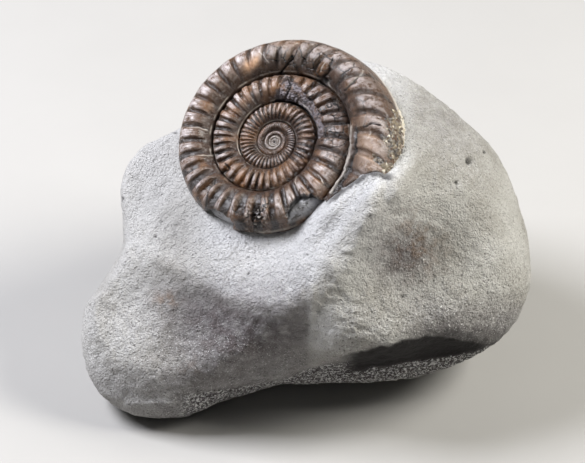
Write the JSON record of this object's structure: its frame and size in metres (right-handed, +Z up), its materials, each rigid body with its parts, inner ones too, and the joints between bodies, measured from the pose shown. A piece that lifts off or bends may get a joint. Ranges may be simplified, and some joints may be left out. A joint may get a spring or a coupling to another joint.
{
  "type": "ammonite fossil",
  "caption": "Coiled ribbed ammonite fossil lying half out of the sloping face of a rounded grey limestone nodule that stands on a worn flat.",
  "frame": {"origin": "middle of the object's footprint on the floor it stands on", "axes": "+X to the right along the longest side, +Y to the back, +Z up; the show face with the ammonite looks forward and up"},
  "size_m": [0.0996, 0.0708, 0.0745],
  "materials": {
    "limestone": "matt light grey fine-grained limestone, pecked and worn",
    "shell_calcite": "polished brown calcite shell with a soft gloss"
  },
  "bodies": {
    "root": {"limestone_nodule": "limestone", "ammonite": "shell_calcite"}
  },
  "joints": []
}
